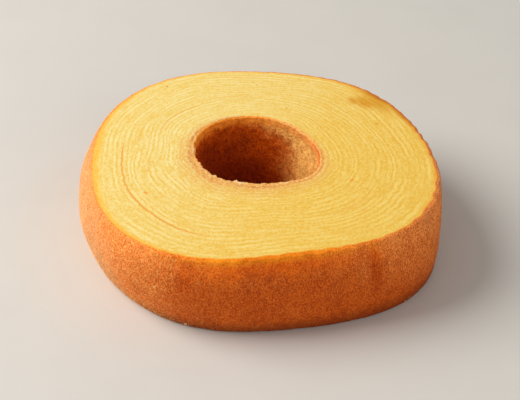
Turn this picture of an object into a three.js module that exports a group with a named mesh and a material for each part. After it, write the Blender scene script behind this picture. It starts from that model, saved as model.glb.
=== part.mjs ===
// A baumkuchen: ring cake baked layer upon layer round a roller, here a short length of the roll
// that lies on its lower cut face. Baking fuses the layers and the browned skin into one piece.
//
// Millimetres, +Z up. Angles are in degrees round the hole: 0 is towards +X, 90 towards +Y.
// The origin is the middle of the footprint's bounding rectangle, at the level the cake rests on.

import * as THREE from 'three';

// Main sizes
const cakeHeight = 34;
const holeRadius = 23.2;
const topRadius = 65.7;
const baseRadius = 65.2;
const sideBulge = 3.4;

// The batter runs as it sets, so no outline is a true circle. Each lobe goes in and out by its
// depth, so many waves to the turn, with one wave's crest at the angle given.
const topLobes = [
  { waves: 1, depth: 5.3, crest: -66 },
  { waves: 2, depth: 1.5, crest: -16 },
  { waves: 3, depth: 1.9, crest: -10 },
  { waves: 4, depth: 2.1, crest: -37 },
  { waves: 5, depth: 0.6, crest: -34 },
];
const baseLobes = [
  { waves: 1, depth: 5.1, crest: -61 },
  { waves: 2, depth: 2.3, crest: -25 },
  { waves: 3, depth: 0.9, crest: -31 },
  { waves: 4, depth: 1.7, crest: -37 },
  { waves: 5, depth: 1.1, crest: -29 },
];
const bulgeLobes = [
  { waves: 1, depth: 1.7, crest: 174 },
  { waves: 2, depth: 0.7, crest: -41 },
  { waves: 3, depth: 0.7, crest: 26 },
];
const holeLobes = [
  { waves: 1, depth: 1.5, crest: 55 },
  { waves: 2, depth: 1.55, crest: -33 },
  { waves: 3, depth: 0.8, crest: -24 },
  { waves: 4, depth: 0.45, crest: -37 },
];

// Layers on the upper cut face: each stands a little proud of the line where it meets the next
const layerCount = 22;
const layerRise = 0.3;
const layerRiseLobes = [
  { waves: 3, depth: 0.06, crest: 20 },
  { waves: 7, depth: 0.05, crest: 75 },
];

// Edges: the saw leaves the crust edges nearly sharp, and the hole's rim crumbles a little
const topEdgeRound = 0.9;
const baseEdgeRound = 1.4;
const rimRound = 0.6;
const rimCrumble = 0.45;
const rimSeed = 29;

// Levels from 0, the base, to 1, the top, where the rounded edges begin
const faceHeight = cakeHeight - layerRise;
const baseEdgeLevel = baseEdgeRound / cakeHeight;
const topEdgeLevel = (faceHeight - topEdgeRound) / cakeHeight;
const rimLevel = (faceHeight - rimRound) / cakeHeight;

// Low swells of the browned skin and of the hole's wall: waves to the turn, turns of phase from
// base to top, and depth
const crustSwells = [
  { waves: 9, twist: 0.6, depth: 0.22 },
  { waves: 14, twist: -0.9, depth: 0.16 },
];
const holeSwells = [
  { waves: 5, twist: 0.8, depth: 0.35 },
  { waves: 8, twist: -1.2, depth: 0.25 },
];

// Fineness of the surface
const stepsAround = 84;
const crustSteps = 8;
const holeSteps = 6;
const edgeSteps = 2;

const crumbColour = 0xeecb6f;

const radians = THREE.MathUtils.degToRad;

// A repeatable random number from 0 to 1 for each call
function randomSource(seed) {
  let state = seed;
  const multiplier = 16807;
  const modulus = 2147483647;
  return () => {
    state = (state * multiplier) % modulus;
    return state / modulus;
  };
}

function lobedValue(mean, lobes, angle) {
  let value = mean;
  for (const lobe of lobes) {
    value += lobe.depth * Math.cos(lobe.waves * radians(angle - lobe.crest));
  }
  return value;
}

function swell(swells, angle, level) {
  let offset = 0;
  for (const wave of swells) {
    const phase = 2 * Math.PI * wave.twist * level;
    offset += wave.depth * Math.sin(wave.waves * radians(angle) + phase);
  }
  return offset;
}

// Radius of the browned side at a level from 0, the base, to 1, the upper cut face
function sideRadius(angle, level) {
  const base = lobedValue(baseRadius, baseLobes, angle);
  const top = lobedValue(topRadius, topLobes, angle);
  const bulge = lobedValue(sideBulge, bulgeLobes, angle);
  const crown = 4 * level * (1 - level);
  return THREE.MathUtils.lerp(base, top, level) + (bulge + swell(crustSwells, angle, level)) * crown;
}

// Radius of the hole's wall at a level from 0 to 1
function holeWallRadius(angle, level) {
  const crown = 4 * level * (1 - level);
  return lobedValue(holeRadius, holeLobes, angle) + swell(holeSwells, angle, level) * crown;
}

// Quarter round from one face to the next: towards and away are the directions in the section
// that the round starts along and ends along
function addRound(section, corner, size, towards, away) {
  for (let step = 0; step <= edgeSteps; step += 1) {
    const turn = (Math.PI / 2) * (step / edgeSteps);
    const alongTowards = size * (Math.sin(turn) - 1);
    const alongAway = size * (1 - Math.cos(turn));
    section.push([
      corner[0] + towards[0] * alongTowards + away[0] * alongAway,
      corner[1] + towards[1] * alongTowards + away[1] * alongAway,
    ]);
  }
}

// The browned side between its two rounded edges
function addCrust(section, angle) {
  for (let step = 1; step < crustSteps; step += 1) {
    const level = THREE.MathUtils.lerp(baseEdgeLevel, topEdgeLevel, step / crustSteps);
    section.push([sideRadius(angle, level), level * cakeHeight]);
  }
}

// The upper cut face from its outer edge to the rim: a line between layers, then a layer's middle
function addLayers(section, angle, outerEdge, innerEdge) {
  const rise = lobedValue(layerRise, layerRiseLobes, angle);
  for (let half = 1; half < 2 * layerCount; half += 1) {
    const radius = THREE.MathUtils.lerp(outerEdge, innerEdge, half / (2 * layerCount));
    const isMiddle = half % 2 === 1;
    section.push([radius, isMiddle ? cakeHeight : cakeHeight - rise]);
  }
}

// The hole's wall, from the rim down to the base
function addHoleWall(section, angle) {
  for (let step = 1; step < holeSteps; step += 1) {
    const level = rimLevel * (1 - step / holeSteps);
    section.push([holeWallRadius(angle, level), level * cakeHeight]);
  }
}

// One section through the ring's flesh, [radius, height] points, once round it from the base's
// inner edge
function sectionAt(angle, rimLoss) {
  const outward = [1, 0];
  const upward = [0, 1];
  const inward = [-1, 0];
  const downward = [0, -1];
  const baseEdge = sideRadius(angle, baseEdgeLevel);
  const topEdge = sideRadius(angle, topEdgeLevel);
  const rimEdge = holeWallRadius(angle, rimLevel) + rimLoss;
  const section = [[holeWallRadius(angle, 0), 0]];
  addRound(section, [baseEdge, 0], baseEdgeRound, outward, upward);
  addCrust(section, angle);
  addRound(section, [topEdge, faceHeight], topEdgeRound, upward, inward);
  addLayers(section, angle, topEdge - topEdgeRound, rimEdge + rimRound);
  addRound(section, [rimEdge, faceHeight], rimRound, inward, downward);
  addHoleWall(section, angle);
  return section;
}

// Sections joined all the way round into one closed skin
function ringGeometry() {
  const random = randomSource(rimSeed);
  const positions = [];
  let pointsPerSection = 0;
  for (let step = 0; step < stepsAround; step += 1) {
    const angle = (360 * step) / stepsAround;
    const section = sectionAt(angle, rimCrumble * random());
    pointsPerSection = section.length;
    for (const [radius, height] of section) {
      positions.push(radius * Math.cos(radians(angle)), radius * Math.sin(radians(angle)), height);
    }
  }

  const triangles = [];
  for (let step = 0; step < stepsAround; step += 1) {
    const here = step * pointsPerSection;
    const next = ((step + 1) % stepsAround) * pointsPerSection;
    for (let point = 0; point < pointsPerSection; point += 1) {
      const after = (point + 1) % pointsPerSection;
      triangles.push(here + point, next + point, next + after);
      triangles.push(here + point, next + after, here + after);
    }
  }

  const geometry = new THREE.BufferGeometry();
  geometry.setAttribute('position', new THREE.Float32BufferAttribute(positions, 3));
  geometry.setIndex(triangles);
  return geometry;
}

// Puts the middle of the footprint on the origin
function centreFootprint(geometry) {
  geometry.computeBoundingBox();
  const middle = geometry.boundingBox.getCenter(new THREE.Vector3());
  geometry.translate(-middle.x, -middle.y, 0);
}

const cakeGeometry = ringGeometry();
centreFootprint(cakeGeometry);
cakeGeometry.computeVertexNormals();

const crumb = new THREE.MeshStandardMaterial({ color: crumbColour, roughness: 0.9, metalness: 0 });
const cakeRing = new THREE.Mesh(cakeGeometry, crumb);
cakeRing.name = 'cake_ring';

const baumkuchen = new THREE.Group();
baumkuchen.add(cakeRing);

export default baumkuchen;
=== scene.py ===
import math

import bpy
import numpy as np
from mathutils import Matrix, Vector


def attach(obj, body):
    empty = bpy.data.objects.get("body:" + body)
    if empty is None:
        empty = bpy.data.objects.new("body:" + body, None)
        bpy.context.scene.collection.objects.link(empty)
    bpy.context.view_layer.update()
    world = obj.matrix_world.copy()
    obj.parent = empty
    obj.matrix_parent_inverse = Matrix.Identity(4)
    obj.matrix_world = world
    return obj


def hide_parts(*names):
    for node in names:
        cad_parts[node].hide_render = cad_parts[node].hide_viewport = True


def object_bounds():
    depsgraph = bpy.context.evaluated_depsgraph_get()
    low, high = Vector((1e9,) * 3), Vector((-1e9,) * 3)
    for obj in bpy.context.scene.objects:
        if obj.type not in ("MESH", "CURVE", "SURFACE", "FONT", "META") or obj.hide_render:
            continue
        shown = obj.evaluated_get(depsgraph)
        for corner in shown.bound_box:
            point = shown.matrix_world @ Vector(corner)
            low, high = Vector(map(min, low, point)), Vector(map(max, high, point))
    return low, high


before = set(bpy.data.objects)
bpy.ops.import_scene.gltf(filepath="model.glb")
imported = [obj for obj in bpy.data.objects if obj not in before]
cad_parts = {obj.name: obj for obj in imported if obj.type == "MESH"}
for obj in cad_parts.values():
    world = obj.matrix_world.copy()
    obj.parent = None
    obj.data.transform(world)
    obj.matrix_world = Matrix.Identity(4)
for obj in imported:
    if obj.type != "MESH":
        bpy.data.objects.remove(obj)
cadLow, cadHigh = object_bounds()
print("frame loaded")

mm = 0.001
deg = math.pi / 180


# Lets a node socket stand in plain sums; each sum adds its Math node. The node method makes any
# other node: its settings go in first, then the values or links of its sockets.
class Flow:
    def __init__(self, tree, socket=None):
        self.tree = tree
        self.socket = socket

    def node(self, kind, settings=None, sockets=None, output=0):
        made = self.tree.nodes.new(kind)
        for name, value in (settings or {}).items():
            setattr(made, name, value)
        for name, value in (sockets or {}).items():
            target = findSocket(made.inputs, name)
            if isinstance(value, Flow):
                self.tree.links.new(value.socket, target)
            elif value is not None:
                target.default_value = value
        if output is None:
            return made
        return Flow(self.tree, findSocket(made.outputs, output))

    def sum(self, operation, first, second=None):
        return self.node("ShaderNodeMath", {"operation": operation}, {0: first, 1: second})

    def __add__(self, other):
        return self.sum("ADD", self, other)

    def __radd__(self, other):
        return self.sum("ADD", other, self)

    def __sub__(self, other):
        return self.sum("SUBTRACT", self, other)

    def __rsub__(self, other):
        return self.sum("SUBTRACT", other, self)

    def __mul__(self, other):
        return self.sum("MULTIPLY", self, other)

    def __rmul__(self, other):
        return self.sum("MULTIPLY", other, self)

    def __truediv__(self, other):
        return self.sum("DIVIDE", self, other)

    def __rtruediv__(self, other):
        return self.sum("DIVIDE", other, self)

    def __pow__(self, other):
        return self.sum("POWER", self, other)

    def __lt__(self, other):
        return self.sum("LESS_THAN", self, other)

    def __gt__(self, other):
        return self.sum("GREATER_THAN", self, other)


# A node's socket by its number, its identifier or its name
def findSocket(sockets, name):
    if isinstance(name, int):
        return sockets[name]
    return next(s for s in sockets if s.enabled and name in (s.identifier, s.name))


# 0 below low, 1 above high and a smooth step between; low may be the larger one
def ease(value, low, high):
    sockets = {"Value": value, "From Min": low, "From Max": high}
    return value.node("ShaderNodeMapRange", {"interpolation_type": "SMOOTHSTEP"}, sockets)


def mixColour(share, first, second):
    sockets = {"Factor_Float": share, "A_Color": first, "B_Color": second}
    return share.node("ShaderNodeMix", {"data_type": "RGBA"}, sockets, "Result_Color")


# Noise from 0 to 1 whose lumps are about this size, in the units of the place
def noise(place, size, detail, rough=0.5):
    sockets = {"Vector": place, "Scale": 1 / size, "Detail": detail, "Roughness": rough}
    return place.node("ShaderNodeTexNoise", None, sockets)


# A colour as it looks on screen, 0 to 255, made linear for a shader by the screen's own curve
def tint(red, green, blue):
    def linear(part):
        part = part / 255
        return part / 12.92 if part <= 0.04045 else ((part + 0.055) / 1.055) ** 2.4
    return (linear(red), linear(green), linear(blue), 1.0)


def link(thing):
    bpy.context.scene.collection.objects.link(thing)
    return thing


# The solid's sizes in mm and degrees, with a sharper rim; a lobe is waves to the turn, depth and
# its crest's angle
ring = {
    "height": 34.0,
    "holeRadius": 23.2,
    "topRadius": 65.7,
    "baseRadius": 65.2,
    "sideBulge": 3.4,
    "topLobes": ((1, 5.3, -66), (2, 1.5, -16), (3, 1.9, -10), (4, 2.1, -37), (5, 0.6, -34)),
    "baseLobes": ((1, 5.1, -61), (2, 2.3, -25), (3, 0.9, -31), (4, 1.7, -37), (5, 1.1, -29)),
    "bulgeLobes": ((1, 1.7, 174), (2, 0.7, -41), (3, 0.7, 26)),
    "holeLobes": ((1, 1.5, 55), (2, 1.55, -33), (3, 0.8, -24), (4, 0.45, -37)),
    "crustSwells": ((9, 0.6, 0.22), (14, -0.9, 0.16)),   # waves, turns of phase up the side, depth
    "holeSwells": ((5, 0.8, 0.35), (8, -1.2, 0.25)),
    "layers": 22,
    "layerUneven": 0.3,        # how far a layer's width strays, as a share of the mean width
    "layerWander": 0.3,        # how far a ring line strays from its even path, as the same share
    "layerWaves": 9,           # its finest straying, in waves to the turn
    "layerDrift": 0.7,         # and how much that differs from one layer to the next
    "layerRise": 0.3,
    "topEdgeRound": 0.9,
    "baseEdgeRound": 1.4,
    "rimRound": 0.35,
    "rimReach": 0.3,           # how far the skin's torn edge reaches in over the hole
    "edgeRagged": 0.36,        # how far the crust's cut edge frays in and out
    "edgeRaggedLobes": ((1, 0.65, -25),),
    "edgeWaves": 90,           # the finest fraying, in waves to the turn
    "rimRagged": 0.6,          # how far the rim is torn back
    "rimRaggedLobes": ((1, 0.3, -140), (2, 0.3, -130)),   # more of it where the skin has torn
    "rimWaves": 70,
    "raggedWaves": 30,         # how many waves make up the fraying
    "skinWidth": 2.3,          # how much of the tan skin shows round the rim
    "skinLobes": ((1, 1.9, -110),),
    # tongues of torn skin that reach in over the hole: angle, half width round, length
    "rimTongues": ((-112, 16, 0.6), (-109, 1.5, 0.8), (-101, 1.2, 0.9), (-58, 12, 1.0), (-52, 1.6, 0.5),
                   (-146, 8, 0.5), (-134, 1.4, 0.6), (-161, 1.6, 0.5), (176, 3, 0.5), (38, 2, 0.5)),
    "skinSlope": 0.05,         # how far the skin dips at the rim
    # upright folds in the crust: angle, middle and half height as levels, half width round, depth
    "creases": ((-53.5, 0.62, 0.2, 1.5, 0.5), (-111, 0.6, 0.14, 1.8, 0.25), (-16, 0.5, 0.2, 2.2, 0.3)),
    "inside": 0.03,            # kept back from the solid's skin
    "around": 441,             # steps of the mesh, and so on for the next five
    "acrossLayer": 5,
    "acrossBaseLayer": 2,
    "upCrust": 34,
    "upHole": 30,
    "roundSteps": 3,
    "seed": 11,
}


def lobed(mean, lobes, angle):
    return mean + sum(depth * np.cos(waves * (angle - crest * deg)) for waves, depth, crest in lobes)


def swell(swells, angle, level):
    return sum(depth * np.sin(waves * angle + 2 * math.pi * twist * level)
               for waves, twist, depth in swells)


def sideRadius(angle, level):
    base = lobed(ring["baseRadius"], ring["baseLobes"], angle)
    top = lobed(ring["topRadius"], ring["topLobes"], angle)
    bulge = lobed(ring["sideBulge"], ring["bulgeLobes"], angle)
    bulge = bulge + swell(ring["crustSwells"], angle, level)
    return base + (top - base) * level + bulge * 4 * level * (1 - level)


def holeWallRadius(angle, level):
    crown = 4 * level * (1 - level)
    wall = lobed(ring["holeRadius"], ring["holeLobes"], angle)
    return wall + swell(ring["holeSwells"], angle, level) * crown


# Degrees round the ring from a place, -180 to 180
def turnFrom(degrees, place):
    return (degrees - place + 180) % 360 - 180


def creaseDepth(angle, level):
    depth = 0
    for place, middle, halfHeight, halfWidth, deepest in ring["creases"]:
        away = (turnFrom(angle / deg, place) / halfWidth) ** 2 + ((level - middle) / halfHeight) ** 2
        depth = depth + deepest * np.exp(-away)
    return depth


# Smooth chance variation that closes on itself round the ring, mostly between -1 and 1
def wander(rng, angle, across, mostWaves, drift, count=8):
    total = 0
    for _ in range(count):
        waves = rng.integers(1, mostWaves + 1)
        slant = rng.uniform(-drift, drift)
        total = total + np.sin(waves * angle + slant * across + rng.uniform(0, 2 * math.pi))
    return total / math.sqrt(count)


onCut, onCrust, inHole = 0, 1, 2   # the kinds of surface
farFromRim = 9                     # in widths of the skin, for the rows of the crust


# The ring as one closed skin. The mark "layer" counts ring lines out from the hole, "surface" is
# the kind of surface, and "finish" is the same for a whole face.
def makeRing():
    rng = np.random.default_rng(ring["seed"])
    angle = np.linspace(0, 2 * math.pi, ring["around"], endpoint=False)[:, None]
    height, layers = ring["height"], ring["layers"]
    face = height - ring["layerRise"]
    baseLevel = ring["baseEdgeRound"] / height
    topLevel = (face - ring["topEdgeRound"]) / height
    rimLevel = (face - ring["rimRound"]) / height
    widths = np.concatenate([[0], np.cumsum(1 + ring["layerUneven"] * rng.uniform(-1, 1, layers))])
    widths = widths / widths[-1]
    skinWidth = lobed(ring["skinWidth"], ring["skinLobes"], angle)
    strips = []

    # a band of rows, with the marks of each; skin is the way out from the rim in widths of the skin
    def strip(radius, z, layer, surface, skin):
        flat = 0 * angle
        rows = np.broadcast_arrays(radius + flat, z + flat, layer + flat, surface + flat, skin + flat)
        strips.append(np.stack(rows))

    # a cut face's rings between its inner and outer edge
    def ringRows(layer, inner, outer):
        share = np.interp(layer, np.arange(layers + 1), widths)
        free = np.clip(np.minimum(layer, layers - layer) / 2, 0, 1)
        wandering = wander(rng, angle, layer, ring["layerWaves"], ring["layerDrift"])
        stray = ring["layerWander"] * (outer - inner) / layers * wandering
        return inner + (outer - inner) * share + stray * free

    # torn edges, the rim's from its full reach back and the crust's both ways
    torn = wander(rng, angle, 0, ring["rimWaves"], 0, ring["raggedWaves"])
    ragged = ring["rimRagged"] * (0.5 + 0.25 * torn)
    ragged = ragged * lobed(1, ring["rimRaggedLobes"], angle)
    torn = wander(rng, angle, 0, ring["edgeWaves"], 0, ring["raggedWaves"])
    frayed = ring["edgeRagged"] * 0.5 * torn
    frayed = frayed * lobed(1, ring["edgeRaggedLobes"], angle)
    reach = ring["rimReach"]
    for place, halfWidth, length in ring["rimTongues"]:
        reach = reach + length * np.exp(-(turnFrom(angle / deg, place) / halfWidth) ** 2)
    baseEdge = sideRadius(angle, baseLevel) - ring["inside"]
    topEdge = sideRadius(angle, topLevel) - ring["inside"] - frayed
    rimEdge = holeWallRadius(angle, rimLevel) + ragged - reach
    bend = np.linspace(0, math.pi / 2, ring["roundSteps"] + 1)[None, :]

    layer = np.arange(0, layers * ring["acrossBaseLayer"])[None, :] / ring["acrossBaseLayer"]
    baseRim = holeWallRadius(angle, 0)
    baseRows = ringRows(layer, baseRim, baseEdge - ring["baseEdgeRound"])
    strip(baseRows, 0, layer, onCut, (baseRows - baseRim) / skinWidth)
    size = ring["baseEdgeRound"]
    outer = baseEdge + size * (np.sin(bend) - 1)
    strip(outer, size * (1 - np.cos(bend)), layers, onCrust, farFromRim)
    level = np.linspace(baseLevel, topLevel, ring["upCrust"] + 1)[None, 1:-1]
    outer = sideRadius(angle, level) - creaseDepth(angle, level) - ring["inside"]
    strip(outer, level * height, layers, onCrust, farFromRim)
    size = ring["topEdgeRound"]
    outer = topEdge - size * (1 - np.cos(bend))
    strip(outer, face + size * (np.sin(bend) - 1), layers, onCrust, farFromRim)
    layer = np.arange(layers * ring["acrossLayer"] - 1, 0, -1)[None, :] / ring["acrossLayer"]
    topRows = ringRows(layer, rimEdge + ring["rimRound"], topEdge - size)
    skin = (topRows - rimEdge) / skinWidth
    slope = ring["skinSlope"] * np.clip(1 - skin, 0, 1)
    strip(topRows, height - ring["inside"] - slope, layer, onCut, skin)
    size = ring["rimRound"]
    z = face - ring["skinSlope"] - size * (1 - np.cos(bend))
    strip(rimEdge + size * (1 - np.sin(bend)), z, 0, inHole, 0)
    level = np.linspace(rimLevel, 0, ring["upHole"] + 1)[None, 2:-1]
    strip(holeWallRadius(angle, level), level * height, 0, inHole, 0)
    radius, z, layer, surface, skin = np.concatenate(strips, axis=2)

    # the outline's own reach, set against the solid's box, gives the place of the hole's axis
    outline = sideRadius(angle, np.linspace(baseLevel, topLevel, ring["upCrust"])[None, :])
    reachX, reachY = outline * np.cos(angle), outline * np.sin(angle)
    centre = (cadLow + cadHigh) / 2
    axis = Vector((centre.x - (reachX.max() + reachX.min()) / 2 * mm,
                   centre.y - (reachY.max() + reachY.min()) / 2 * mm, cadLow.z))

    spots = np.stack([radius * np.cos(angle), radius * np.sin(angle), z], axis=-1) * mm + np.array(axis)
    corner = np.arange(radius.size).reshape(radius.shape)
    onward = np.roll(corner, -1, axis=0)
    quads = np.stack([corner, onward, np.roll(onward, -1, axis=1), np.roll(corner, -1, axis=1)], axis=-1)
    finish = np.maximum(surface, np.roll(surface, -1, axis=1))
    mesh = bpy.data.meshes.new("bakedRing")
    mesh.from_pydata(spots.reshape(-1, 3).tolist(), [], quads.reshape(-1, 4).tolist())
    mark(mesh, "layer", layer)
    mark(mesh, "surface", surface)
    mark(mesh, "skin", skin)
    mesh.attributes.new("finish", "INT", "FACE").data.foreach_set("value", finish.ravel().astype(int))
    mesh.polygons.foreach_set("use_smooth", [True] * len(mesh.polygons))
    inMm = [round(v / mm, 2) for v in axis]
    print("ring:", 2 * len(mesh.polygons), "triangles, hole's axis at", inMm, "mm")
    return link(bpy.data.objects.new("bakedRing", mesh)), axis, angle, layer, surface, skin, z


def mark(mesh, name, values):
    mesh.attributes.new(name, "FLOAT", "POINT").data.foreach_set("value", values.ravel().astype(float))


bakedRing, ringAxis, ringAngle, ringLayer, ringSurface, ringSkin, ringHeight = makeRing()


# Where the baking shows: brown seams are layer, from angle, to angle, strength; patches and dots
# are angle, layer, half width round in degrees, half width in layers, strength
baking = {
    "seams": ((16, -190, -106, 1.0), (9, 118, 166, 0.55), (10, 92, 122, 0.45), (12, -56, -28, 0.45),
              (10, -180, -150, 0.3), (7, -150, -90, 0.25), (17, -10, 50, 0.25), (5, 10, 80, 0.3),
              (19, 60, 120, 0.25), (13, 150, 178, 0.35)),
    "seamFade": 10,            # degrees at each end
    "patches": ((35, 20.0, 9, 1.9, 0.9), (38, 18.5, 6, 1.9, 1.0), (42, 17.0, 3.5, 1.2, 0.9),
                (24, 21.4, 13, 1.0, 0.9), (49, 21.5, 9, 0.8, 0.5), (22, 16.2, 1.2, 0.5, 0.7),
                (38, 21.2, 8, 1.3, 1.3)),
    "dots": ((-146, 13.2, 1.1, 0.4, 0.9), (-162, 10.5, 1.3, 0.5, 0.4), (-139, 11.4, 0.9, 0.3, 0.4),
             (-43, 14.5, 1.4, 0.5, 0.4), (-27, 7.9, 1.6, 0.4, 0.8)),
    "crustBrowningAndShade": 0.51,         # how browned the side is on average, and its lobes; the lobes also hold painted light, paler on the left towards the window, and painted shade, darker at the front turned away from it
    "crustBrowningAndShadeLobes": ((1, 0.22, -36), (2, 0.29, -86), (3, 0.07, 32)),
    "crustFall": -0.05,        # how much more browned it is at the foot than at the top edge
    "crustFallLobes": ((1, 0.45, -40),),
    # darker places of the crust: angle, height, half width round in degrees, half height, strength; the
    # narrow ones at -110 and -53 sit in the creases and are painted shade in the folds
    "bruisesAndCreaseShade": ((-110, 23, 2.2, 6, 0.35), (-104, 17, 2.0, 5, 0.2), (-53, 21, 1.6, 9, 0.45),
                (-63, 7, 1.5, 5, 0.3), (-88, 12, 6, 8, 0.12), (-40, 6, 8, 5, 0.2),
                (-127, 12, 3, 4, 0.15), (55, 18, 5, 8, 0.2), (100, 24, 4, 7, 0.25),
                (128, 9, 6, 5, 0.2)),
    "chipsAndGlints": 0.3,              # how many pale chips the crust has, and its lobe, which gathers them on the left; there they are partly pale chips, partly painted glints where the window light falls
    "chipsAndGlintsLobes": ((1, 0.7, -155),),
    "skinBrowningAndShade": 0.44,          # how browned the hole's wall is, and its lobes; the lobes also hold painted shade, darker on the back-left wall turned away from the window, and painted light, paler on the right wall facing it
    "skinBrowningAndShadeLobes": ((1, 0.5, 138), (2, 0.14, 120)),
    "rich": 0.5,               # deeper yellow of the cut face, and its lobes
    "richLobes": ((1, 0.5, -25),),
    "golden": 1.4,             # how many layers next to the crust have turned golden, and its lobes
    "goldenLobes": ((1, 0.29, 153), (2, 0.53, 13), (3, 0.12, -59)),
    "edgeBrown": 0.3,          # how brown the cut edge of the crust is, and its lobe
    "edgeBrownLobes": ((1, 0.5, 22),),
    "rimCrumbs": 0.3,          # how thickly crumbs cling to the rim, and its lobes
    "rimCrumbsLobes": ((1, 0.5, -128), (2, 0.2, -110)),
    "rimCrumbsLeast": 0.03,
    "rimCrumbsOut": 1.1,       # how far out from the rim they lie, in widths of the skin
    "rimCrumbsDown": 2.5,      # and how far down the hole, in mm
    # tears with more crumbs, and torn pale flakes: angle, half width round, strength
    "rimTears": ((178, 6, 1.0), (-107, 8, 1.0), (36, 6, 0.4)),
    "flakes": ((176, 6, 1.0), (-150, 4, 0.6), (-134, 4, 0.6), (-105, 7, 1.0), (-60, 8, 0.6),
               (36, 5, 0.5)),
    # groups of crumbs on the side: angle, height, strength
    "sideCrumbs": ((-119, 19.0, 1.0), (-120, 10.8, 0.8), (-149, 25.0, 0.8), (-41, 1.5, 0.7),
                   (-141, 1.4, 0.7), (-136, 3.2, 0.6), (-131, 1.8, 0.8), (-127, 4.4, 0.5),
                   (-124, 1.2, 0.9), (-117, 2.4, 0.7), (-111, 1.0, 0.7), (-146, 5.5, 0.5),
                   (-132, 7.5, 0.4), (60, 8.0, 0.8), (97, 21.0, 0.6), (133, 3.0, 0.8)),
    "sideCrumbSpread": 0.8,    # mm
}


def markBaking():
    angle, layer = np.broadcast_arrays(ringAngle / deg, ringLayer)

    def roundRing(name):
        return lobed(baking[name], baking[name + "Lobes"], angle * deg)

    seam = np.zeros(layer.shape)
    for place, start, end, strength in baking["seams"]:
        off = np.abs(turnFrom(angle, (start + end) / 2))
        along = np.clip(((end - start) / 2 - off) / baking["seamFade"], 0, 1)
        across = np.clip(2 - 2 * np.abs(layer - place), 0, 1)   # full within half a layer
        seam = np.maximum(seam, strength * along * across)

    def patchMark(patches):
        patch = np.zeros(layer.shape)
        for turn, place, halfTurn, halfLayer, strength in patches:
            away = (turnFrom(angle, turn) / halfTurn) ** 2 + ((layer - place) / halfLayer) ** 2
            patch = np.maximum(patch, strength * np.exp(-away))
        return patch

    # how browned the crust and the hole's wall are, with painted light and shade in it: paler where the
    # window light falls, darker where the surface is turned away from it
    dark = roundRing("crustBrowningAndShade") + roundRing("crustFall") * (0.5 - ringHeight / ring["height"])
    for turn, height, halfTurn, halfHeight, strength in baking["bruisesAndCreaseShade"]:
        away = (turnFrom(angle, turn) / halfTurn) ** 2 + ((ringHeight - height) / halfHeight) ** 2
        dark = dark + strength * np.exp(-away)
    dark = np.where(ringSurface == inHole, roundRing("skinBrowningAndShade"), dark)

    # crumbs cling along the rim's torn skin, and in a few small groups on the side
    onRim = (ringSkin < baking["rimCrumbsOut"]) & (ringHeight > ring["height"] - baking["rimCrumbsDown"])
    rimCrumbs = np.clip(roundRing("rimCrumbs"), baking["rimCrumbsLeast"], 1)
    for turn, halfTurn, strength in baking["rimTears"]:
        rimCrumbs = rimCrumbs + strength * np.exp(-(turnFrom(angle, turn) / halfTurn) ** 2)
    sideCrumbs = np.zeros(layer.shape)
    for turn, height, strength in baking["sideCrumbs"]:
        along = turnFrom(angle, turn) * deg * ring["topRadius"]
        away = (along ** 2 + (ringHeight - height) ** 2) / baking["sideCrumbSpread"] ** 2
        sideCrumbs = np.maximum(sideCrumbs, (ringSurface == onCrust) * strength * np.exp(-away))
    flake = np.zeros(layer.shape)
    for turn, halfTurn, strength in baking["flakes"]:
        flake = np.maximum(flake, strength * np.exp(-(turnFrom(angle, turn) / halfTurn) ** 2))

    marks = {
        "seam": seam,
        "patch": patchMark(baking["patches"]),
        "dot": patchMark(baking["dots"]),
        "dark": dark,
        "rich": roundRing("rich"),
        "golden": 1 - np.clip((ring["layers"] - layer) / roundRing("golden"), 0, 1),
        "edgeBrown": roundRing("edgeBrown"),
        "chipsAndGlints": roundRing("chipsAndGlints"),
        "flake": flake,
        "rimCrumbs": rimCrumbs * onRim,
        "sideCrumbs": sideCrumbs,
    }
    for name, values in marks.items():
        mark(bakedRing.data, name, values)


markBaking()


# A fresh material with the object's place in mm from the hole's axis
def startMaterial(name):
    material = bpy.data.materials.new(name)
    material.use_nodes = True
    material.node_tree.nodes.clear()
    start = Flow(material.node_tree)
    place = start.node("ShaderNodeTexCoord", output="Object")
    place = start.node("ShaderNodeMapping", None, {
        "Vector": place, "Scale": (1 / mm,) * 3, "Location": tuple(-v / mm for v in ringAxis)})
    return material, start, place


def finishMaterial(material, start, look, colour, height, roughness=None):
    bump = {"Height": height, "Distance": look["bump"] * mm, "Strength": 1.0}
    normal = start.node("ShaderNodeBump", None, bump, "Normal")
    sockets = {
        "Base Color": colour,
        "Roughness": look["roughness"] if roughness is None else roughness,
        "Normal": normal,
        "Specular IOR Level": look["specular"],
    }
    shader = start.node("ShaderNodeBsdfPrincipled", None, sockets)
    start.node("ShaderNodeOutputMaterial", None, {"Surface": shader}, None)
    return material


def markOf(start, name):
    return start.node("ShaderNodeAttribute", {"attribute_name": name}, None, "Fac")


def combine(start, x, y, z):
    return start.node("ShaderNodeCombineXYZ", None, {"X": x, "Y": y, "Z": z})


def parts(start, vector):
    split = start.node("ShaderNodeSeparateXYZ", None, {"Vector": vector}, None)
    return [Flow(start.tree, socket) for socket in split.outputs]


def stretch(start, place, factors):
    return start.node("ShaderNodeVectorMath", {"operation": "MULTIPLY"}, {0: place, 1: factors})


# A value made uneven by noises round their mean, each by its own amount
def ruffle(value, noises, amounts):
    for name, amount in amounts.items():
        value = value + (noises[name] - 0.5) * amount
    return value


# How much of a coat there is where its mark has this value
def cover(mark, coat, noises):
    return ease(ruffle(mark, noises, coat.get("ragged", {})), *coat["fade"])


# Lays a coat's colour, or the one given, over another
def lay(below, mark, coat, noises, *where, colour=None):
    share = cover(mark, coat, noises)
    for factor in (*where, coat["share"]):
        share = share * factor
    return mixColour(share, below, tint(*coat["tint"]) if colour is None else colour)


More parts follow.
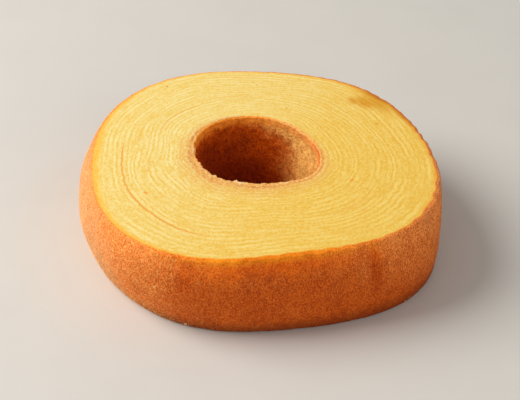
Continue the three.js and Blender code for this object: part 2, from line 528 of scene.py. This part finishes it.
# The colour made darker where the speckle is low and lighter where it is high
def shade(speckle, colour, look):
    share = ease(speckle, *look["speckleRange"])
    tone = mixColour(share, (*look["darker"], 1.0), (*look["lighter"], 1.0))
    settings = {"data_type": "RGBA", "blend_type": "MULTIPLY"}
    sockets = {"Factor_Float": 1.0, "A_Color": colour, "B_Color": tone}
    return share.node("ShaderNodeMix", settings, sockets, "Result_Color")


def addUp(fields, weights):
    return sum(fields[name] * weight for name, weight in weights.items())


# In the looks that follow, a coat has its colour, the values of its mark between which it fades
# in, how ragged each noise makes it, and its share of the colour where it is full. A noise is
# its size in mm, its detail and its roughness.
cutLook = {
    "crumb": (238, 212, 122),
    "rich": {"tint": (236, 198, 88), "fade": (0, 1), "ragged": {"cloud": 0.5}, "share": 1.0},
    "golden": {"fade": (0.05, 0.6), "ragged": {"cloud": 0.5}, "share": 0.9},
    "goldenPale": (248, 196, 72),
    "goldenRich": {"tint": (232, 166, 52), "fade": (0.2, 0.95), "share": 1.0},
    "rimWarm": {"tint": (230, 172, 90), "fade": (3.2, 1.0), "ragged": {"pore": 1.5}, "share": 0.5},
    "patch": {"tint": (214, 150, 22), "fade": (0.08, 0.95), "ragged": {"pore": 0.6, "grain": 0.6},
              "share": 0.9},
    "patchDark": {"tint": (168, 92, 22), "fade": (0.2, 0.9), "ragged": {"grain": 0.4}, "share": 0.7},
    "darker": (0.95, 0.82, 0.46),    # factors for the lines and pores
    "lighter": (1.05, 1.14, 1.7),    # and for the crumb that stands up pale
    "speckleRange": (-0.1, 1.1),
    "speckleMean": 0.43,
    "speckle": {"grain": 2.2, "pore": 0.4, "streak": 0.9, "dash": 0.5},
    "speckleFront": {"grain": 0.5, "streak": 0.15},    # how much coarser at the front, softer behind
    "ridgeTone": 0.36,
    "lineTone": 0.3,
    "goldenCalm": 0.8,         # how much fainter the rings are in the golden band
    "seam": (234, 156, 58),
    "seamShare": 0.85,
    "fleck": {"tint": (206, 132, 44), "fade": (0.09, 0.04), "ragged": {"grain": 0.1}, "share": 0.7},
    "fleckSpacing": 8.0,
    "fleckChance": (0.66, 0.7),
    "dot": {"tint": (240, 156, 60), "fade": (0.1, 0.6), "ragged": {"grain": 0.5}, "share": 0.9},
    "edge": {"fade": (ring["layers"] - 0.7, ring["layers"] - 0.05),
             "ragged": {"grain": 0.8, "pore": 0.6}, "share": 1.0},
    "edgePale": (244, 156, 40),
    "edgeRich": {"tint": (214, 104, 44), "fade": (0.3, 0.7), "share": 1.0},
    "rim": {"fade": (1.2, 0.85), "ragged": {"pore": 0.8}, "share": 0.9},
    "rimSkin": (226, 156, 76),
    "rimFlake": {"tint": (244, 198, 116), "fade": (0.42, 0.62), "share": 1.0},
    "scorch": {"tint": (204, 118, 48), "fade": (0.22, 0.04), "share": 0.75},
    "scorchPlace": 0.75,       # in widths of the skin out from the rim
    "scorchSway": {"pore": 0.8},
    "scorchLife": (0.4, 0.6),
    "torn": {"tint": (253, 228, 178), "fade": (0.5, 0.15), "ragged": {"grain": 1.2}, "share": 1.0},
    "flakes": {"fade": (0.3, 0.8), "ragged": {"pore": 0.8}},
    "grain": (0.8, 4.0, 0.7),
    "pore": (1.6, 2.0, 0.5),
    "cloud": (9.0, 2.0, 0.5),
    "streak": (6.0, 0.6, 2.0),       # drawn out along the rings: length and width in mm, detail
    "dash": (2.6, 0.96, 2.0),
    "life": (14.0, 4.0, 1.0),        # the same, where the rings come and go
    "lineSway": {"pore": 0.25},
    "line": (0.22, 0.02),            # where each fades in, in layers away from a ring line
    "ridge": (0.12, 0.42),
    "seamLine": (0.26, 0.04),
    "lineLife": (0.32, 0.6),         # and over which values of the two noises
    "ridgeLife": (0.38, 0.62),
    "lineBreaks": (0.32, 0.56),
    "seamBreaks": (0.12, 0.4),
    "bumps": {"grain": 0.9, "pore": 0.7, "streak": 0.3, "line": -0.2, "seam": -0.1},
    "bump": 0.1,               # mm
    "roughness": 0.8,
    "specular": 0.3,
}


# The sawn crumb: fine rings that come and go, pores, a golden band by the crust and a tan rim
def makeCutCrumb():
    look = cutLook
    material, start, place = startMaterial("cutCrumb")
    layer, seam, patch = markOf(start, "layer"), markOf(start, "seam"), markOf(start, "patch")
    rich, skin, golden = markOf(start, "rich"), markOf(start, "skin"), markOf(start, "golden")
    flake, dot, edgeBrown = markOf(start, "flake"), markOf(start, "dot"), markOf(start, "edgeBrown")
    outward = start.node("ShaderNodeVectorMath", {"operation": "NORMALIZE"},
                         {0: stretch(start, place, (1, 1, 0))})
    east, north = parts(start, outward)[:2]
    meanRadius = (ring["holeRadius"] + ring["topRadius"]) / 2
    pitch = (ring["topRadius"] - ring["holeRadius"]) / ring["layers"]

    # noise drawn out along the rings
    def drawnOut(length, width, detail):
        along = meanRadius / length
        path = combine(start, east * along, north * along, layer * (pitch / width))
        return noise(path, 1.0, detail)

    noises = {name: noise(place, *look[name]) for name in ("grain", "pore", "cloud")}
    noises.update({name: drawnOut(*look[name]) for name in ("streak", "dash", "life")})
    dash, life = noises["dash"], noises["life"]

    phase = start.sum("FRACT", ruffle(layer, noises, look["lineSway"]))
    toLine = start.sum("MINIMUM", phase, 1 - phase)
    line = ease(toLine, *look["line"]) * ease(life, *look["lineLife"]) * ease(dash, *look["lineBreaks"])
    ridge = ease(toLine, *look["ridge"]) * ease(life, *look["ridgeLife"])
    seamLine = ease(toLine, *look["seamLine"]) * seam * ease(dash, *look["seamBreaks"])

    colour = lay(tint(*look["crumb"]), rich, look["rich"], noises)
    goldenTint = lay(tint(*look["goldenPale"]), rich, look["goldenRich"], noises)
    colour = lay(colour, golden, look["golden"], noises, colour=goldenTint)
    colour = lay(colour, skin, look["rimWarm"], noises)
    colour = lay(colour, patch, look["patch"], noises)
    colour = lay(colour, patch * golden, look["patchDark"], noises)

    contrast = dict(look["speckle"])
    for name, amount in look["speckleFront"].items():
        contrast[name] = contrast[name] - north * amount
    speckle = ruffle(look["speckleMean"], noises, contrast)
    rings = ridge * look["ridgeTone"] - line * look["lineTone"]
    colour = shade(speckle + rings * (1 - golden * look["goldenCalm"]), colour, look)
    colour = mixColour(seamLine * look["seamShare"], colour, tint(*look["seam"]))

    spots = start.node("ShaderNodeTexVoronoi", None,
                       {"Vector": place, "Scale": 1 / look["fleckSpacing"]}, None)
    spotAway, spotChance = (Flow(start.tree, spots.outputs[name]) for name in ("Distance", "Color"))
    colour = lay(colour, spotAway, look["fleck"], noises, ease(spotChance, *look["fleckChance"]))
    colour = lay(colour, dot, look["dot"], noises)

    edgeTint = lay(tint(*look["edgePale"]), edgeBrown, look["edgeRich"], noises)
    colour = lay(colour, layer, look["edge"], noises, colour=edgeTint)

    skinTint = lay(tint(*look["rimSkin"]), noises["grain"], look["rimFlake"], noises)
    toScorch = start.sum("ABSOLUTE", ruffle(skin, noises, look["scorchSway"]) - look["scorchPlace"])
    skinTint = lay(skinTint, toScorch, look["scorch"], noises, ease(life, *look["scorchLife"]))
    colour = lay(colour, skin, look["rim"], noises, colour=skinTint)
    colour = lay(colour, skin, look["torn"], noises, cover(flake, look["flakes"], noises))

    height = addUp({**noises, "line": line, "seam": seamLine}, look["bumps"])
    return finishMaterial(material, start, look, colour, height)


crustLook = {
    "light": (233, 157, 96),
    "mid": {"tint": (238, 128, 52), "fade": (0.0, 0.5), "share": 1.0},
    "dark": {"tint": (204, 86, 17), "fade": (0.35, 1.0), "share": 1.0},
    "uneven": {"blotch": 0.7},       # how unevenly it is browned
    "browned": (0.1, 0.8),           # the dark mark's range over which the crust turns brown; the mark holds painted shade as well as browning
    "glazed": (0.5, 0.95),           # and the one over which it turns smooth and deep
    "upper": (255, 146, 64),
    "upperGlazed": (246, 106, 12),
    "upperShare": 0.75,
    "upperBand": {"fade": (24.0, ring["height"] - 3), "ragged": {"coarse": 4.0, "blotch": 4.0}},
    "edge": (255, 144, 18),
    "edgeShare": 0.8,
    "edgeBand": {"fade": (ring["height"] - 3.6, ring["height"] - 0.2), "ragged": {"coarse": 1.5}},
    "darker": (0.76, 0.58, 0.38),    # factors for the pits
    "lighter": (1.32, 1.7, 2.3),     # and for the grains between them
    "speckleRange": (-0.1, 1.1),
    "speckleMean": 0.46,
    "grainTone": 6.0,
    "grainCalm": {"upper": 3.0, "edge": 1.4},    # how much less of it where the bands are glazed
    "coarseTone": 1.1,
    "coarseEdgeCalm": 0.6,
    "blotchTone": 1.1,
    "chipped": (0.1, 0.8),           # the chips mark's range
    "chippedTone": 0.62,
    "chippedCalm": 0.25,             # how far the speckle goes to that tone
    # darker towards the foot: partly a browner foot, partly painted shade where the side turns under
    # towards the floor
    "foot": {"tint": (120, 46, 10), "fade": (8.0, 0.5), "ragged": {"coarse": 3.0}, "share": 1.0},
    "footPale": 0.05,                # the foot's share where the crust is pale
    "footBrowned": 0.6,              # and how much more of it where it is browned
    "chip": {"tint": (255, 196, 112), "fade": (0.54, 0.64), "ragged": {"coarse": 0.1}, "share": 0.7},
    "chipGlazed": 0.8,               # how many fewer chips where it is glazed
    "chipFoot": {"fade": (6.0, 0.5), "ragged": {"coarse": 3.0}},
    "chipFootMore": 0.07,
    "chipsAndGlints": (0.8, 3.0, 0.6),
    "grain": (0.5, 4.0, 0.7),
    "coarse": (2.1, 3.0, 0.6),
    "blotch": (8.0, 3.0, 0.55),
    "grainStretch": (1, 1, 0.7),     # below 1 draws the noise out up the side
    "blotchStretch": (1, 1, 0.4),
    "bumps": {"grain": 0.7, "coarse": 0.9},
    "bump": 0.45,              # mm
    "roughness": 0.7,
    "grainRoughness": 0.2,
    "specular": 0.12,
}


# The browned side: fine-grained, darker where it baked longer, paler on the left as painted light and
# darker at the front as painted shade, orange just under the cut edge
def makeBakedCrust():
    look = crustLook
    material, start, place = startMaterial("bakedCrust")
    dark = markOf(start, "dark")
    z = parts(start, place)[2]
    upright = stretch(start, place, look["blotchStretch"])
    taller = stretch(start, place, look["grainStretch"])
    grain, coarse = noise(taller, *look["grain"]), noise(taller, *look["coarse"])
    blotch = noise(upright, *look["blotch"])
    noises = {"grain": grain, "coarse": coarse, "blotch": blotch}
    chipsAndGlints = noise(place, *look["chipsAndGlints"])
    chipped = ease(markOf(start, "chipsAndGlints"), *look["chipped"])

    brown = ruffle(dark, noises, look["uneven"])
    browned = ease(dark, *look["browned"])
    glazed = ease(dark, *look["glazed"])
    colour = lay(tint(*look["light"]), brown, look["mid"], noises)
    colour = lay(colour, brown, look["dark"], noises)
    upper = cover(z, look["upperBand"], noises)
    pale = upper * (1 - glazed) * browned
    colour = mixColour(pale * look["upperShare"], colour, tint(*look["upper"]))
    colour = mixColour(upper * glazed * look["upperShare"], colour, tint(*look["upperGlazed"]))
    edge = cover(z, look["edgeBand"], noises)
    colour = mixColour(edge * glazed * look["edgeShare"], colour, tint(*look["edge"]))

    calm = look["grainCalm"]
    grainTone = look["grainTone"] - upper * glazed * calm["upper"] - edge * glazed * calm["edge"]
    coarseTone = look["coarseTone"] - edge * look["coarseEdgeCalm"]
    contrast = {"grain": grainTone, "coarse": coarseTone, "blotch": look["blotchTone"]}
    speckle = ruffle(look["speckleMean"], noises, contrast)
    # where chipped the speckle is pushed lighter: partly pale chips, partly painted glints of the window
    # light
    towards = (look["chippedTone"] - speckle) * chipped * (1 - glazed)
    colour = shade(speckle + towards * look["chippedCalm"], colour, look)

    # the darker foot is partly painted shade near the floor
    footShare = look["footPale"] + browned * look["footBrowned"]
    colour = lay(colour, z, look["foot"], noises, footShare)
    chipMark = chipsAndGlints + cover(z, look["chipFoot"], noises) * look["chipFootMore"]
    colour = lay(colour, chipMark, look["chip"], noises, chipped, 1 - glazed * look["chipGlazed"])

    roughness = look["roughness"] + grain * look["grainRoughness"]
    height = addUp(noises, look["bumps"])
    return finishMaterial(material, start, look, colour, height, roughness)


skinLook = {
    "lit": (243, 180, 93),
    "mid": {"tint": (203, 88, 11), "fade": (0.1, 0.65), "share": 1.0},
    "dark": {"tint": (126, 36, 1), "fade": (0.5, 1.3), "share": 0.9},
    "uneven": {"cloud": 0.5},        # how unevenly it is browned
    "deep": (ring["height"] - 14.0, 4.0),        # heights down which the wall turns darker: painted shade deep in the hole
    "deepShadeMore": 0.4,
    "upperBand": {"fade": (ring["height"] - 13.0, ring["height"] - 1.0), "ragged": {"pit": 6.0}},
    "upperPaintedLight": 0.4,                # how much lighter that band is made: painted light near the hole's mouth
    "lip": {"fade": (ring["height"] - 5.6, ring["height"] - 1.6), "ragged": {"pit": 4.0}, "share": 0.9},
    "lipLit": (240, 152, 68),
    "lipShaded": {"tint": (255, 154, 48), "fade": (0.3, 0.95), "share": 1.0},
    "crest": {"tint": (236, 170, 92), "fade": (ring["height"] - 1.1, ring["height"] - 0.6),
              "ragged": {"grain": 0.6}, "share": 0.9},
    "crestFrom": (0.02, 0.2),        # the dark mark's ranges where the pale crest comes in
    "crestTo": (0.8, 0.4),           # and goes out again
    "crestRed": {"tint": (216, 98, 38), "fade": (ring["height"] - 0.9, ring["height"] - 0.6),
                 "share": 0.8},
    "crestRedTo": (0.12, 0.0),
    "darker": (0.62, 0.45, 0.3),     # factors for the pits
    "lighter": (1.25, 1.4, 1.6),     # and for the grains between them
    "speckleRange": (-0.1, 1.1),
    "speckleMean": 0.5,
    "lipPaintedLight": 0.08,                 # how much lighter the lip's speckle is made: painted light
    "grainTone": 1.3,
    "grainToneShaded": 1.1,          # how much more of it where the wall is dark
    "shaded": (0.1, 0.6),
    "grainLipCalm": 0.5,
    "pitTone": 1.3,
    "pitLipCalm": 0.4,
    "grain": (0.8, 2.0, 0.6),
    "pit": (2.4, 3.0, 0.6),
    "cloud": (8.0, 2.0, 0.5),
    "bumps": {"grain": 0.6, "pit": 1.0},
    "bump": 0.5,               # mm
    "roughness": 0.85,
    "specular": 0.1,
}


# The hole's wall, where the batter baked onto the roller: thin, rough brown skin
def makeRollerSkin():
    look = skinLook
    material, start, place = startMaterial("rollerSkin")
    z = parts(start, place)[2]
    noises = {name: noise(place, *look[name]) for name in ("grain", "pit", "cloud")}
    pit = noises["pit"]
    # the dark mark is partly the skin's browning and partly painted light and shade, paler on the right
    # wall towards the window, darker on the back-left
    dark = markOf(start, "dark")

    # painted light: the wall is made lighter in the band near the hole's mouth
    upper = cover(z, look["upperBand"], noises)
    brown = ruffle(dark, noises, look["uneven"]) - upper * look["upperPaintedLight"]
    colour = lay(tint(*look["lit"]), brown, look["mid"], noises)
    # painted shade: the wall is made darker deeper down the hole
    brownWithDeepShade = brown + ease(z, *look["deep"]) * look["deepShadeMore"]
    colour = lay(colour, brownWithDeepShade, look["dark"], noises)
    # the lip's orange is partly its own colour; on the shaded back-left its brightness is painted light
    lipTint = lay(tint(*look["lipLit"]), dark, look["lipShaded"], noises)
    colour = lay(colour, z, look["lip"], noises, colour=lipTint)
    fromTo = ease(dark, *look["crestFrom"]), ease(dark, *look["crestTo"])
    colour = lay(colour, z, look["crest"], noises, *fromTo)
    colour = lay(colour, z, look["crestRed"], noises, ease(dark, *look["crestRedTo"]))

    lip = cover(z, look["lip"], noises)
    grainTone = look["grainTone"] + ease(dark, *look["shaded"]) * look["grainToneShaded"]
    grainTone = grainTone * (1 - lip * look["grainLipCalm"])
    speckle = ruffle(look["speckleMean"] + lip * look["lipPaintedLight"], noises, {"grain": grainTone})
    speckle = speckle + (pit - 0.5) * look["pitTone"] * (1 - lip * look["pitLipCalm"])
    colour = shade(speckle, colour, look)
    height = addUp(noises, look["bumps"])
    return finishMaterial(material, start, look, colour, height)


crumbLook = {
    "toasted": (226, 160, 84),
    "pale": {"tint": (252, 222, 158), "fade": (0.35, 0.65), "share": 1.0},
    "grain": (0.4, 2.0, 0.6),
    "bump": 0.1,               # mm
    "roughness": 0.85,
    "specular": 0.3,
}


def makeCrumbBits():
    look = crumbLook
    material, start, place = startMaterial("crumbBits")
    grain = noise(place, *look["grain"])
    colour = lay(tint(*look["toasted"]), grain, look["pale"], {})
    return finishMaterial(material, start, look, colour, grain)


cutCrumb = makeCutCrumb()
bakedCrust = makeBakedCrust()
rollerSkin = makeRollerSkin()
crumbBits = makeCrumbBits()
print("materials made")


# A Geometry Nodes tree with named inputs; gives the tree, a Flow to start from and its inputs
def startTree(name, inputs):
    tree = bpy.data.node_groups.new(name, "GeometryNodeTree")
    tree.interface.new_socket("Geometry", in_out="OUTPUT", socket_type="NodeSocketGeometry")
    tree.interface.new_socket("Geometry", in_out="INPUT", socket_type="NodeSocketGeometry")
    for label, kind in inputs.items():
        tree.interface.new_socket(label, in_out="INPUT", socket_type="NodeSocket" + kind)
    start = Flow(tree)
    group = start.node("NodeGroupInput", output=None)
    given = {socket.name: Flow(tree, socket) for socket in group.outputs if socket.name}
    return tree, start, given


# Puts the tree on the object with its values, and turns the result into a plain mesh
def applyTree(thing, tree, values):
    modifier = thing.modifiers.new(tree.name, "NODES")
    modifier.node_group = tree
    for item in tree.interface.items_tree:
        if item.in_out == "INPUT" and item.name in values:
            modifier[item.identifier] = values[item.name]
    evaluated = thing.evaluated_get(bpy.context.evaluated_depsgraph_get())
    mesh = bpy.data.meshes.new_from_object(evaluated)
    thing.modifiers.remove(modifier)
    thing.data = mesh
    mesh.name = thing.name
    return thing


def readMark(start, name, kind="FLOAT"):
    settings = {"data_type": kind}
    return start.node("GeometryNodeInputNamedAttribute", settings, {"Name": name}, "Attribute")


# Keeps a shape inside the solid's box
def keepWithin(start, shape, given):
    place = start.node("GeometryNodeInputPosition")
    place = start.node("ShaderNodeVectorMath", {"operation": "MAXIMUM"}, {0: place, 1: given["Lowest"]})
    place = start.node("ShaderNodeVectorMath", {"operation": "MINIMUM"}, {0: place, 1: given["Highest"]})
    return start.node("GeometryNodeSetPosition", None, {"Geometry": shape, "Position": place})


relief = {
    "Layer Rise": 0.06 * mm,
    "Crumb Size": 1.2 * mm,
    "Crumb Depth": 0.14 * mm,
    "Dent Size": 6.0 * mm,
    "Dent Depth": 0.4 * mm,
    "Pit Size": 3.0 * mm,
    "Pit Depth": 1.6 * mm,
    "Tear Size": 1.6 * mm,
    "Tear Depth": 1.0 * mm,
    "Seed": 5.0,
    "Lowest": cadLow,
    "Highest": cadHigh,
}
reliefForm = {
    "ridgePower": 0.7,         # below 1 makes a ridge broad and the line beside it narrow
    "lifeSize": 8.0,           # in crumb sizes, how far it is between places where ridges come and go
    "life": (0.35, 0.65),
    "crumbLevel": 0.75,        # the noise that leaves the surface where it was
    "tearLevel": 0.65,
    "dentLevel": 0.5,
    "pitLevel": 0.5,
    "tearReach": (1.2, 0.4),   # in widths of the skin out from the rim
    "tornDetail": 3.0,         # the noise's detail in tears and pits
    "wrinkleFineness": 4.0,
    "wrinkleShare": 0.4,
}


# Ridges and crumb on the cut faces, torn skin at the rim, dents in the crust, pits in the hole
def makeReliefTree():
    form = reliefForm
    kinds = {name: "Vector" if isinstance(value, Vector) else "Float" for name, value in relief.items()}
    tree, start, given = startTree("ringRelief", kinds)
    position = start.node("GeometryNodeInputPosition")
    normal = start.node("GeometryNodeInputNormal")
    layer, surface, skin = (readMark(start, name) for name in ("layer", "surface", "skin"))
    finish = readMark(start, "finish", "INT")

    def lumps(size, detail=2.0):
        sockets = {"Vector": position, "W": given["Seed"], "Scale": 1 / size, "Detail": detail}
        return start.node("ShaderNodeTexNoise", {"noise_dimensions": "4D"}, sockets)

    isCut = surface < onCut + 0.5
    isHole = surface > inHole - 0.5
    isCrust = 1 - isCut - isHole
    phase = start.sum("FRACT", layer)
    ridge = start.sum("SINE", phase * math.pi) ** form["ridgePower"]
    life = ease(lumps(given["Crumb Size"] * form["lifeSize"]), *form["life"])
    drop = (ridge - 1) * given["Layer Rise"] * life
    crumb = (lumps(given["Crumb Size"]) - form["crumbLevel"]) * given["Crumb Depth"]
    tear = (lumps(given["Tear Size"], form["tornDetail"]) - form["tearLevel"]) * given["Tear Depth"]
    tear = tear * ease(skin, *form["tearReach"])
    dent = (lumps(given["Dent Size"]) - form["dentLevel"]) * given["Dent Depth"]
    wrinkle = lumps(given["Dent Size"] / form["wrinkleFineness"]) - form["dentLevel"]
    wrinkle = wrinkle * given["Dent Depth"] * form["wrinkleShare"]
    pit = (lumps(given["Pit Size"], form["tornDetail"]) - form["pitLevel"]) * given["Pit Depth"]
    rise = isCut * (drop + crumb + tear) + isCrust * (dent + wrinkle) + isHole * pit
    offset = start.node("ShaderNodeVectorMath", {"operation": "SCALE"}, {0: normal, "Scale": rise})
    shape = start.node("GeometryNodeSetPosition", None, {"Geometry": given["Geometry"], "Offset": offset})
    shape = keepWithin(start, shape, given)
    shape = start.node("GeometryNodeRealizeInstances", None, {"Geometry": shape})
    for kind, material in ((onCut, cutCrumb), (onCrust, bakedCrust), (inHole, rollerSkin)):
        chosen = start.node("FunctionNodeCompare", {"data_type": "INT", "operation": "EQUAL"},
                            {"A": finish, "B": kind})
        shape = start.node("GeometryNodeSetMaterial", None,
                           {"Geometry": shape, "Selection": chosen, "Material": material})
    start.node("NodeGroupOutput", None, {"Geometry": shape}, None)
    return tree


applyTree(bakedRing, makeReliefTree(), relief)
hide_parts("cake_ring")
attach(bakedRing, "root")
print("ring dressed:", len(bakedRing.data.polygons), "faces")


# Each kind of crumb: the mark it follows, how many to a square metre at most, and how big
crumbs = {
    "rimCrumbs": {
        "Mark": "rimCrumbs",
        "Density": 8.0e5,
        "Smallest": 0.12 * mm,
        "Largest": 0.38 * mm,
        "Seed": 3,
    },
    "sideCrumbs": {
        "Mark": "sideCrumbs",
        "Density": 1.4e6,
        "Smallest": 0.25 * mm,
        "Largest": 0.55 * mm,
        "Seed": 8,
    },
}
crumbShape = {
    "narrowest": (0.4, 0.4, 0.3),
    "widest": (1.5, 1.0, 0.8),
    "lumps": 0.45 * mm,
    "lumpDepth": 1.6,          # as a share of the largest crumb
}


# Strews lumpy, flaky crumbs over a surface, half sunk in it
def makeCrumbTree():
    kinds = {"Mark": "String", "Density": "Float", "Smallest": "Float", "Largest": "Float", "Seed": "Int",
             "Lowest": "Vector", "Highest": "Vector"}
    tree, start, given = startTree("crumbScatter", kinds)

    # a chance number or vector for each crumb
    def chance(kind, least, most):
        sockets = {"Min": least, "Max": most, "Seed": given["Seed"]}
        return start.node("FunctionNodeRandomValue", {"data_type": kind}, sockets, "Value")

    density = readMark(start, given["Mark"]) * given["Density"]
    points = start.node("GeometryNodeDistributePointsOnFaces", None,
                        {"Mesh": given["Geometry"], "Density": density, "Seed": given["Seed"]})
    ball = start.node("GeometryNodeMeshIcoSphere", None, {"Radius": 1.0, "Subdivisions": 1})
    size = chance("FLOAT", given["Smallest"], given["Largest"])
    form = chance("FLOAT_VECTOR", crumbShape["narrowest"], crumbShape["widest"])
    turn = chance("FLOAT_VECTOR", (0, 0, 0), (2 * math.pi,) * 3)
    scale = start.node("ShaderNodeVectorMath", {"operation": "SCALE"}, {0: form, "Scale": size})
    strewn = start.node("GeometryNodeInstanceOnPoints", None,
                        {"Points": points, "Instance": ball, "Rotation": turn, "Scale": scale})
    shape = start.node("GeometryNodeRealizeInstances", None, {"Geometry": strewn})
    position = start.node("GeometryNodeInputPosition")
    lumpy = start.node("ShaderNodeTexNoise", None,
                       {"Vector": position, "Scale": 1 / crumbShape["lumps"]}, "Color")
    centred = start.node("ShaderNodeVectorMath", {"operation": "SUBTRACT"}, {0: lumpy, 1: (0.5,) * 3})
    depth = given["Largest"] * crumbShape["lumpDepth"]
    offset = start.node("ShaderNodeVectorMath", {"operation": "SCALE"}, {0: centred, "Scale": depth})
    shape = start.node("GeometryNodeSetPosition", None, {"Geometry": shape, "Offset": offset})
    shape = keepWithin(start, shape, given)
    shape = start.node("GeometryNodeSetMaterial", None, {"Geometry": shape, "Material": crumbBits})
    start.node("NodeGroupOutput", None, {"Geometry": shape}, None)
    return tree


def makeCrumbs():
    tree = makeCrumbTree()
    for name, values in crumbs.items():
        piece = link(bpy.data.objects.new(name, bakedRing.data.copy()))
        applyTree(piece, tree, {**values, "Lowest": cadLow, "Highest": cadHigh})
        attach(piece, "root")
        print(name + ":", len(piece.data.polygons), "faces")


makeCrumbs()


table = {
    "size": 3.0,               # metres
    "colour": (206, 203, 197),
    "paler": 6,                # how much paler the lightest specks are
    "speck": (30.0, 2.0, 0.5),
    "bump": 0.01,
    "roughness": 0.6,
    "specular": 0.5,
}


def makeTable():
    look = table
    mesh = bpy.data.meshes.new("paleTable")
    half = look["size"] / 2
    corners = [(-half, -half, 0), (half, -half, 0), (half, half, 0), (-half, half, 0)]
    mesh.from_pydata(corners, [], [(0, 1, 2, 3)])
    thing = link(bpy.data.objects.new("paleTable", mesh))
    material, start, place = startMaterial("paleTable")
    speck = noise(place, *look["speck"])
    paler = tint(*(part + look["paler"] for part in look["colour"]))
    colour = mixColour(speck, tint(*look["colour"]), paler)
    mesh.materials.append(finishMaterial(material, start, look, colour, speck))


makeTable()


# The camera's place is in mm from the hole's axis at the base
view = {
    "place": (2.4, -546.2, 408.6),
    "lookDown": 36.05,         # degrees below level
    "lens": 119.8,             # mm, for a sensor this wide
    "sensor": 36,
}


def makeCamera():
    camera = bpy.data.cameras.new("camera")
    camera.sensor_width = view["sensor"]
    camera.lens = view["lens"]
    thing = link(bpy.data.objects.new("camera", camera))
    thing.location = ringAxis + Vector(view["place"]) * mm
    thing.rotation_euler = ((90 - view["lookDown"]) * deg, 0, 0)
    bpy.context.scene.camera = thing


# Softboxes: angle round and height in degrees, distance and size in metres, watts and colour
lights = {
    "window": (172, 43, 1.3, 1.0, 18.8, (1.0, 0.97, 0.93)),
    "fill": (-60, 30, 1.1, 0.8, 2.5, (1.0, 0.97, 0.94)),
}
surround = {"colour": (1.0, 0.98, 0.95, 1.0), "strength": 0.32}


def makeLights():
    for name, (turn, rise, distance, size, watts, colour) in lights.items():
        lamp = bpy.data.lights.new(name, "AREA")
        lamp.shape = "DISK"
        lamp.size = size
        lamp.energy = watts
        lamp.color = colour
        thing = link(bpy.data.objects.new(name, lamp))
        away = Vector((math.cos(turn * deg) * math.cos(rise * deg),
                       math.sin(turn * deg) * math.cos(rise * deg), math.sin(rise * deg)))
        thing.location = away * distance
        thing.rotation_euler = away.to_track_quat("Z", "Y").to_euler()
    world = bpy.data.worlds.new("softRoom")
    world.use_nodes = True
    background = world.node_tree.nodes["Background"]
    background.inputs["Color"].default_value = surround["colour"]
    background.inputs["Strength"].default_value = surround["strength"]
    bpy.context.scene.world = world
    bpy.context.scene.view_settings.view_transform = "Standard"


makeCamera()
makeLights()
print("camera and lights set")
